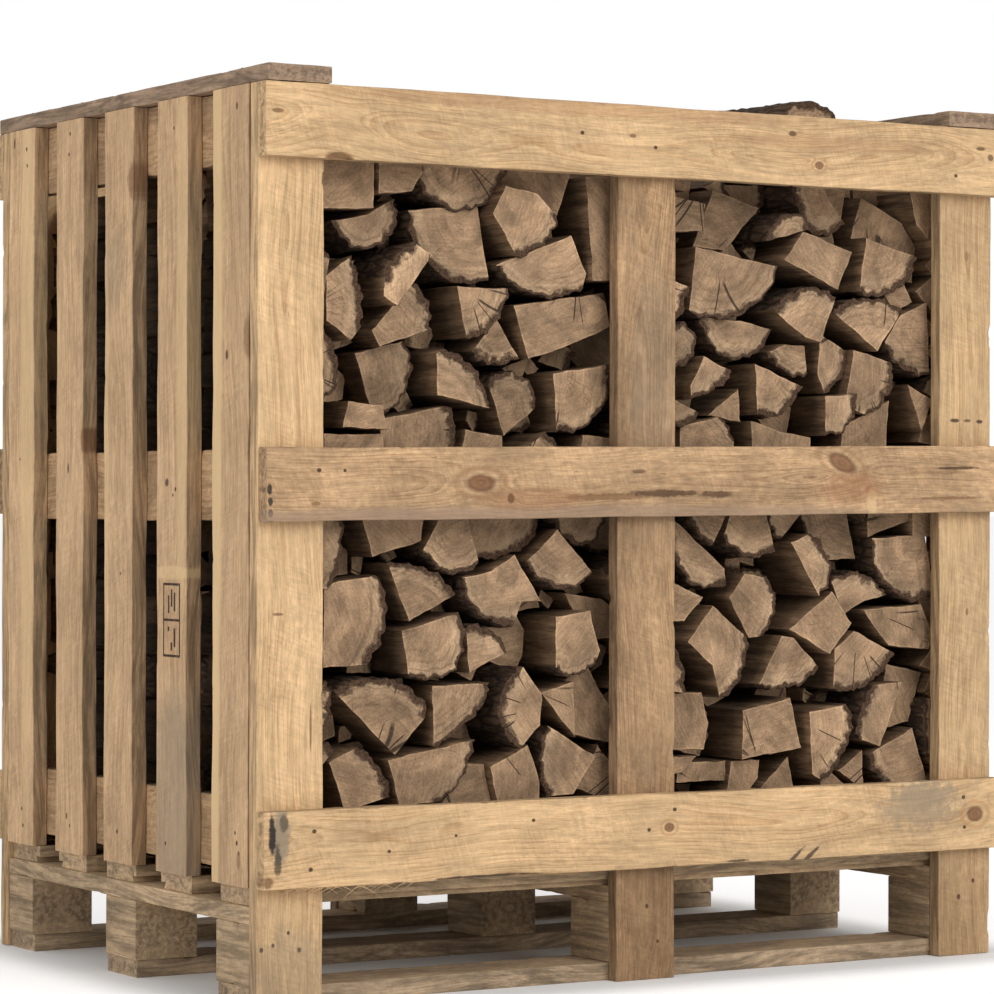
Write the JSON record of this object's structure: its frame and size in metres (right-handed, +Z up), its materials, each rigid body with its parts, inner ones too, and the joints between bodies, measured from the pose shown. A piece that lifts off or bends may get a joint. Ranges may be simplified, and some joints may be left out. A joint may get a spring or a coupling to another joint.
{
  "type": "firewood crate",
  "caption": "Slatted timber crate on a block pallet, filled above its rails with rows of short split logs, their cut ends facing front",
  "frame": {"origin": "centre of the bounding box on the floor", "axes": "+Z up, +X along the front to the right, +Y from the front to the back; the log ends face -Y"},
  "size_m": [1.2, 0.858, 1.224],
  "materials": {
    "pine": "rough-sawn pale pine, dry and unpainted",
    "pine_aged": "rough-sawn pine, browner with weather",
    "pallet_wood": "rough-sawn pallet softwood, dusty",
    "pallet_dark": "rough-sawn pallet softwood, dirty grey-brown",
    "cap_wood": "rough-sawn board weathered grey-brown",
    "firewood": "dry split hardwood, matt",
    "bark": "rough dark bark, matt"
  },
  "bodies": {
    "root": {"block_front_left": "pallet_wood", "block_front_middle": "pallet_wood", "block_front_right": "pallet_wood", "block_middle_left": "pallet_wood", "block_middle_middle": "pallet_wood", "block_middle_right": "pallet_wood", "block_rear_left": "pallet_wood", "block_rear_middle": "pallet_wood", "block_rear_right": "pallet_wood", "bottom_board_front": "pallet_dark", "bottom_board_middle": "pallet_dark", "bottom_board_rear": "pallet_dark", "cap_board_left": "cap_wood", "cap_board_right": "cap_wood", "deck_board_1": "pallet_wood", "deck_board_2": "pallet_wood", "deck_board_3": "pallet_wood", "deck_board_4": "pallet_wood", "deck_board_5": "pallet_wood", "log_row_front": "firewood", "log_row_middle": "firewood", "log_row_rear": "firewood", "post_front_left": "pine", "post_front_middle": "pine_aged", "post_front_right": "pine", "post_rear_left": "pine", "post_rear_middle": "pine_aged", "post_rear_right": "pine", "rail_front_bottom": "pine", "rail_front_middle": "pine_aged", "rail_front_top": "pine", "rail_rear_bottom": "pine", "rail_rear_middle": "pine_aged", "rail_rear_top": "pine", "side_rail_left_bottom": "pine_aged", "side_rail_left_middle": "pine_aged", "side_rail_left_top": "pine_aged", "side_rail_right_bottom": "pine_aged", "side_rail_right_middle": "pine_aged", "side_rail_right_top": "pine_aged", "slat_left_1": "pine", "slat_left_2": "pine", "slat_left_3": "pine", "slat_left_4": "pine", "slat_left_5": "pine", "slat_right_1": "pine", "slat_right_2": "pine", "slat_right_3": "pine", "slat_right_4": "pine", "slat_right_5": "pine", "stringer_left": "pallet_wood", "stringer_middle": "pallet_wood", "stringer_right": "pallet_wood", "top_log_1": "bark", "top_log_2": "firewood", "top_log_3": "bark", "top_log_4": "firewood", "top_log_5": "bark", "top_log_6": "firewood", "top_log_7": "bark"}
  },
  "joints": []
}
